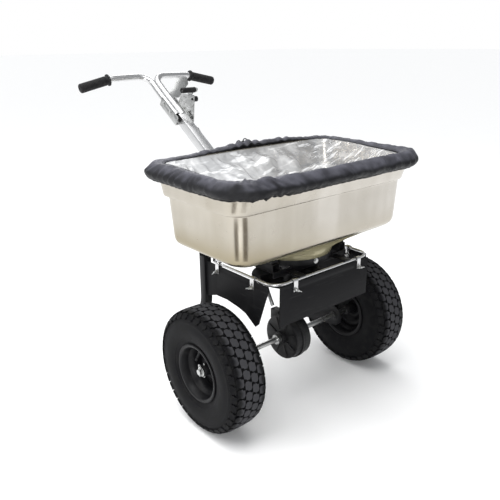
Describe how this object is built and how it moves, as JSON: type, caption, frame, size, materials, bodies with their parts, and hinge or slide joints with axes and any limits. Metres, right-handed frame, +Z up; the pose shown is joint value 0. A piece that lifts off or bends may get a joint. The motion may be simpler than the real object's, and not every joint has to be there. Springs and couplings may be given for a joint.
{
  "type": "broadcast spreader",
  "caption": "Walk-behind rotary spreader with a stainless hopper, rain cover, spreading disc, side and front deflectors, turf tyres and a T handle.",
  "frame": {"origin": "on the ground, in the middle of the whole machine's length and width", "axes": "+Z up; -Y is the front, where the spreading disc's open side faces; +Y is towards the user; X is across, along the axle"},
  "size_m": [0.71, 0.9355, 0.9265],
  "materials": {
    "stainless": "satin brushed",
    "bright_tube": "bright plated",
    "zinc": "zinc plated",
    "black_paint": "semi-gloss black",
    "tyre_rubber": "matte",
    "black_rubber": "matte ribbed",
    "black_plastic": "moulded",
    "cover_fabric": "woven coated",
    "clear_vinyl": "clear flexible",
    "gear_steel": "machined"
  },
  "bodies": {
    "frame": {"axle_bushes": "black_plastic", "cable_sheath": "black_plastic", "cable_stop": "zinc", "case_screws": "zinc", "clip_bolts": "zinc", "deflector_rod": "stainless", "front_cross_bar": "black_paint", "front_deflector": "black_plastic", "gauge_plate": "zinc", "gear_case_left": "black_plastic", "gear_case_right": "black_plastic", "gear_case_strut": "zinc", "gusset": "zinc", "hopper": "stainless", "hopper_blocks": "black_plastic", "joint_bolts": "zinc", "joint_channel": "zinc", "left_axle_plate": "black_paint", "left_deflector": "black_plastic", "left_foot": "black_rubber", "left_grip": "black_rubber", "left_handlebar": "bright_tube", "left_leg": "black_paint", "left_rail": "black_paint", "lever_pivot_bolt": "zinc", "lower_stem": "bright_tube", "outlet_bolts": "zinc", "outlet_plate": "black_plastic", "rear_cross_tube": "black_paint", "right_axle_plate": "black_paint", "right_deflector": "black_plastic", "right_foot": "black_rubber", "right_grip": "black_rubber", "right_handlebar": "bright_tube", "right_leg": "black_paint", "right_rail": "black_paint", "rod_clips": "stainless", "rod_tabs": "black_paint", "stem_bracket": "black_paint"},
    "axle": {"axle": "zinc", "axle_collars": "zinc", "axle_washers": "zinc", "cotter_pins": "zinc", "crown_gear": "gear_steel", "drive_pin": "zinc", "drive_rim": "black_paint", "drive_tyre": "tyre_rubber"},
    "free_wheel": {"free_rim": "black_paint", "free_tyre": "tyre_rubber", "wheel_bushes": "black_plastic"},
    "spinner": {"spinner_shaft": "gear_steel", "pinion": "gear_steel", "spinner_disc": "black_plastic", "agitator": "gear_steel"},
    "shutter": {"shutter": "zinc"},
    "lever": {"lever": "zinc", "lever_grip": "black_plastic"},
    "rate_knob": {"rate_knob": "black_plastic"},
    "cover": {"cover_border": "cover_fabric", "cover_window": "clear_vinyl"}
  },
  "joints": [
    {"name": "axle_spin", "type": "hinge", "parent": "frame", "child": "axle", "pos_m": [0, -0.26375, 0.178], "axis": [1, 0, 0], "continuous": true},
    {"name": "free_wheel_spin", "type": "hinge", "parent": "axle", "child": "free_wheel", "pos_m": [0.296, -0.26375, 0.178], "axis": [1, 0, 0], "continuous": true},
    {"name": "spinner_spin", "type": "hinge", "parent": "frame", "child": "spinner", "pos_m": [0, -0.26375, 0.376], "axis": [0, 0, 1], "continuous": true},
    {"name": "lever_swing", "type": "hinge", "parent": "frame", "child": "lever", "pos_m": [0.032, 0.28925, 0.829], "axis": [-1, 0, 0], "range_deg": [0, 55]},
    {"name": "shutter_swing", "type": "hinge", "parent": "frame", "child": "shutter", "pos_m": [0, -0.26375, 0.4745], "axis": [0, 0, -1], "range_deg": [0, 28]},
    {"name": "knob_turn", "type": "hinge", "parent": "frame", "child": "rate_knob", "pos_m": [0.03, 0.23625, 0.846], "axis": [1, 0, 0], "range_deg": [-170, 170]},
    {"name": "cover_lift", "type": "slide", "parent": "frame", "child": "cover", "axis": [0, 0, 1], "range_m": [0, 0.15]}
  ],
  "couplings": [
    {"joint": "spinner_spin", "follows": "axle_spin", "ratio": 3},
    {"joint": "shutter_swing", "follows": "lever_swing", "ratio": 0.50909}
  ]
}
